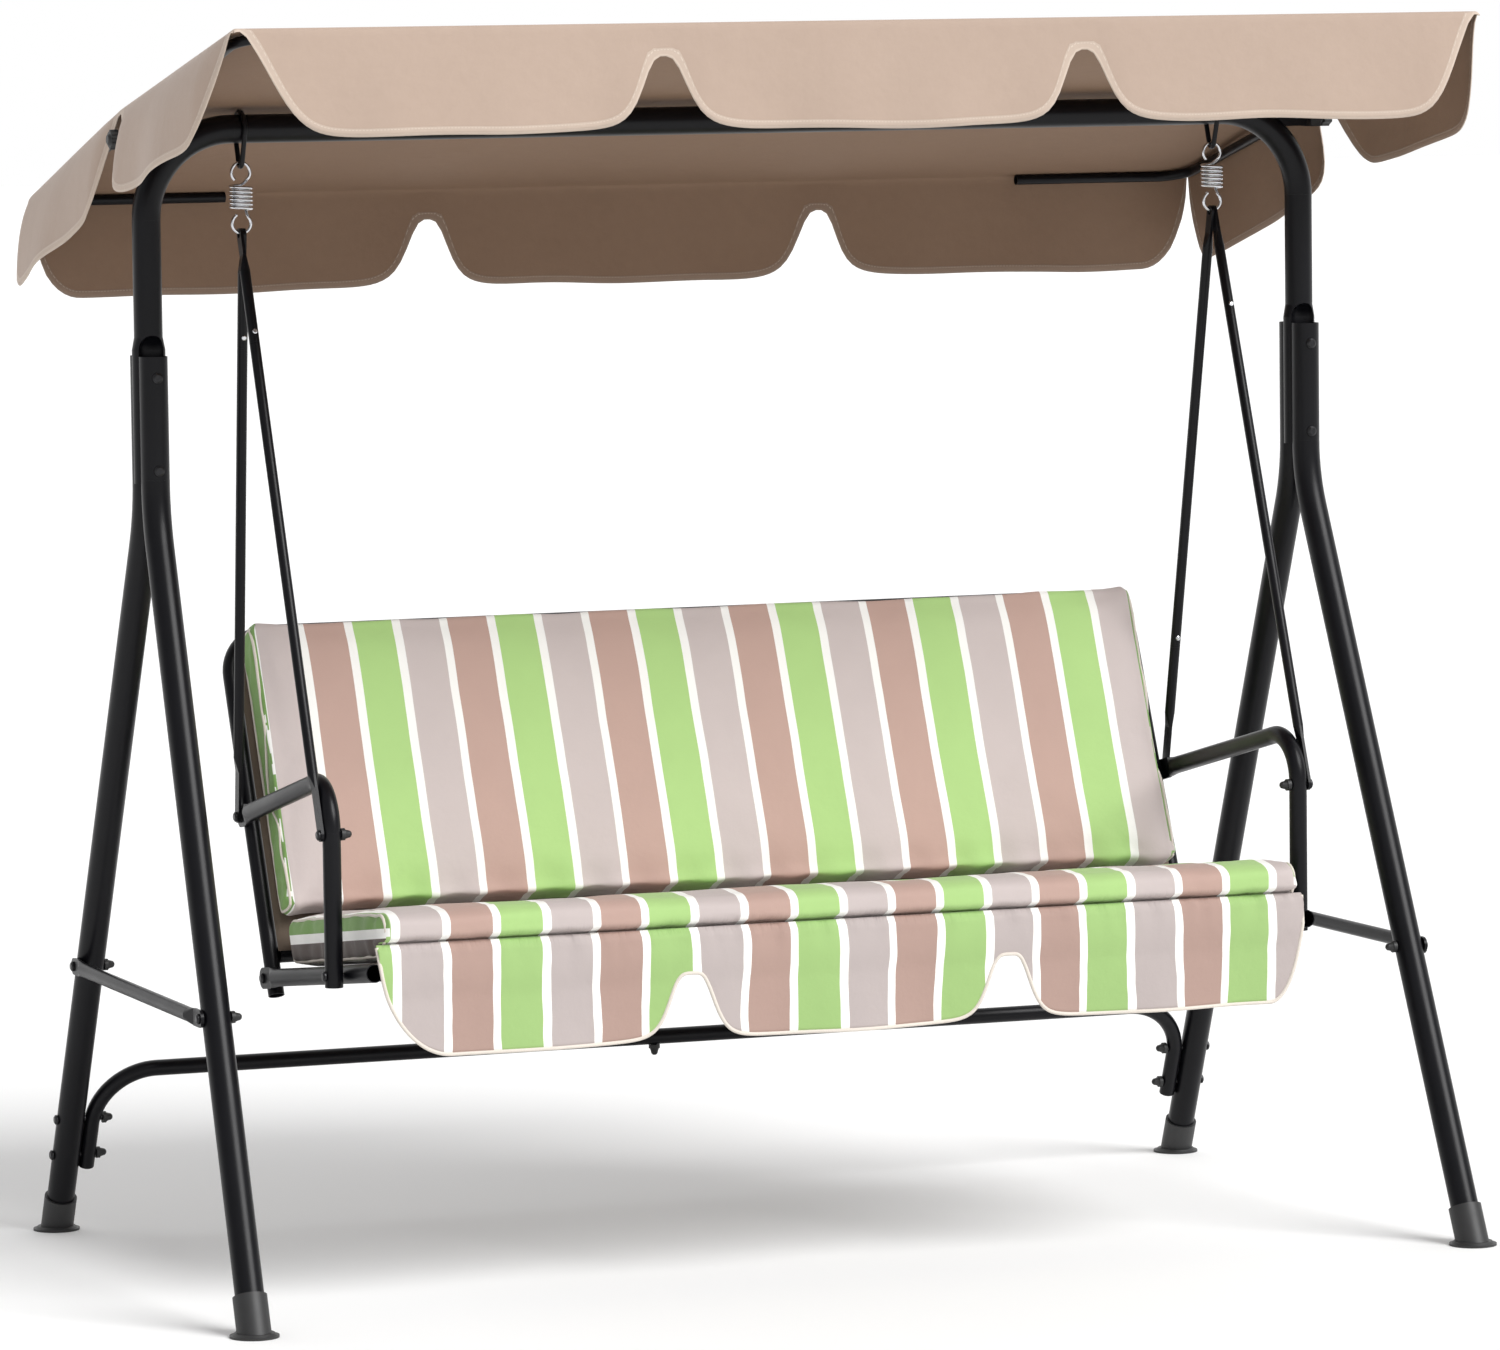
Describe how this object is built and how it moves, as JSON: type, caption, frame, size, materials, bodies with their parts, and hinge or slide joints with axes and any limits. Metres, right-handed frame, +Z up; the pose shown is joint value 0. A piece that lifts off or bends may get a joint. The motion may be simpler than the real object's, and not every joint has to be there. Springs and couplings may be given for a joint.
{
  "type": "canopy swing bench",
  "caption": "Swing bench hung on two extension springs from a tube A-frame, with padded seat and back, armrests and a tilting scalloped canopy.",
  "frame": {"origin": "middle of the four feet on the ground", "axes": "+X to the sitter's left, seen from the front to the right; the front faces -Y; +Z up"},
  "size_m": [1.784, 1.024, 1.6617],
  "materials": {
    "black_steel": "semi-gloss black powder coat",
    "bolt_black": "black zinc",
    "zinc": "bright zinc plate",
    "boot_plastic": "satin black",
    "black_plastic": "satin black",
    "brown_cloth": "woven polyester",
    "striped_cloth": "printed stripes on woven polyester",
    "canopy_cloth": "woven polyester"
  },
  "bodies": {
    "frame": {"leg_front_left": "black_steel", "leg_front_right": "black_steel", "leg_rear_left": "black_steel", "leg_rear_right": "black_steel", "foot_front_left": "boot_plastic", "foot_front_right": "boot_plastic", "foot_rear_left": "boot_plastic", "foot_rear_right": "boot_plastic", "top_tube_left": "black_steel", "top_tube_right": "black_steel", "side_brace_left": "black_steel", "side_brace_right": "black_steel", "crossbar_left": "black_steel", "crossbar_right": "black_steel", "hanger_loop_left": "black_steel", "hanger_loop_right": "black_steel", "canopy_bracket_left": "black_steel", "canopy_bracket_right": "black_steel", "leg_bolts": "bolt_black", "frame_bolts": "bolt_black", "frame_caps": "black_plastic", "top_tube_screws": "zinc"},
    "springs": {"spring_left": "zinc", "spring_right": "zinc"},
    "seat": {"rod_front_left_upper": "black_steel", "rod_front_left_lower": "black_steel", "rod_front_right_upper": "black_steel", "rod_front_right_lower": "black_steel", "rod_rear_left_upper": "black_steel", "rod_rear_left_lower": "black_steel", "rod_rear_right_upper": "black_steel", "rod_rear_right_lower": "black_steel", "arm_left": "black_steel", "arm_right": "black_steel", "back_frame_left": "black_steel", "back_frame_right": "black_steel", "seat_side_left": "black_steel", "seat_side_right": "black_steel", "seat_front_bar": "black_steel", "seat_rear_bar": "black_steel", "back_sling": "brown_cloth", "seat_sling": "brown_cloth", "back_cushion": "striped_cloth", "seat_cushion": "striped_cloth", "seat_valance": "striped_cloth", "seat_bolts": "bolt_black", "seat_caps": "black_plastic", "rod_screws": "zinc"},
    "canopy": {"canopy_block_left": "black_plastic", "canopy_block_right": "black_plastic", "canopy_rod_left": "black_steel", "canopy_rod_right": "black_steel", "canopy_top": "canopy_cloth", "canopy_valance_front": "canopy_cloth", "canopy_valance_rear": "canopy_cloth", "canopy_valance_left": "canopy_cloth", "canopy_valance_right": "canopy_cloth"},
    "knob_left": {"canopy_knob_left": "black_plastic"},
    "knob_right": {"canopy_knob_right": "black_plastic"}
  },
  "joints": [
    {"name": "swing", "type": "hinge", "parent": "frame", "child": "springs", "pos_m": [0, 0, 1.482], "axis": [1, 0, 0], "range_deg": [-18, 18]},
    {"name": "bounce", "type": "slide", "parent": "springs", "child": "seat", "axis": [0, 0, -1], "range_m": [0, 0.025], "stiffness_N_per_m": 60000, "springref_m": -0.006, "deforming": ["spring_left", "spring_right"]},
    {"name": "canopy_tilt", "type": "hinge", "parent": "frame", "child": "canopy", "pos_m": [0, 0, 1.515], "axis": [1, 0, 0], "range_deg": [-12, 26]},
    {"name": "knob_left_turn", "type": "hinge", "parent": "frame", "child": "knob_left", "pos_m": [-0.87, 0, 1.515], "axis": [-1, 0, 0], "range_deg": [-180, 180]},
    {"name": "knob_right_turn", "type": "hinge", "parent": "frame", "child": "knob_right", "pos_m": [0.87, 0, 1.515], "axis": [1, 0, 0], "range_deg": [-180, 180]}
  ]
}
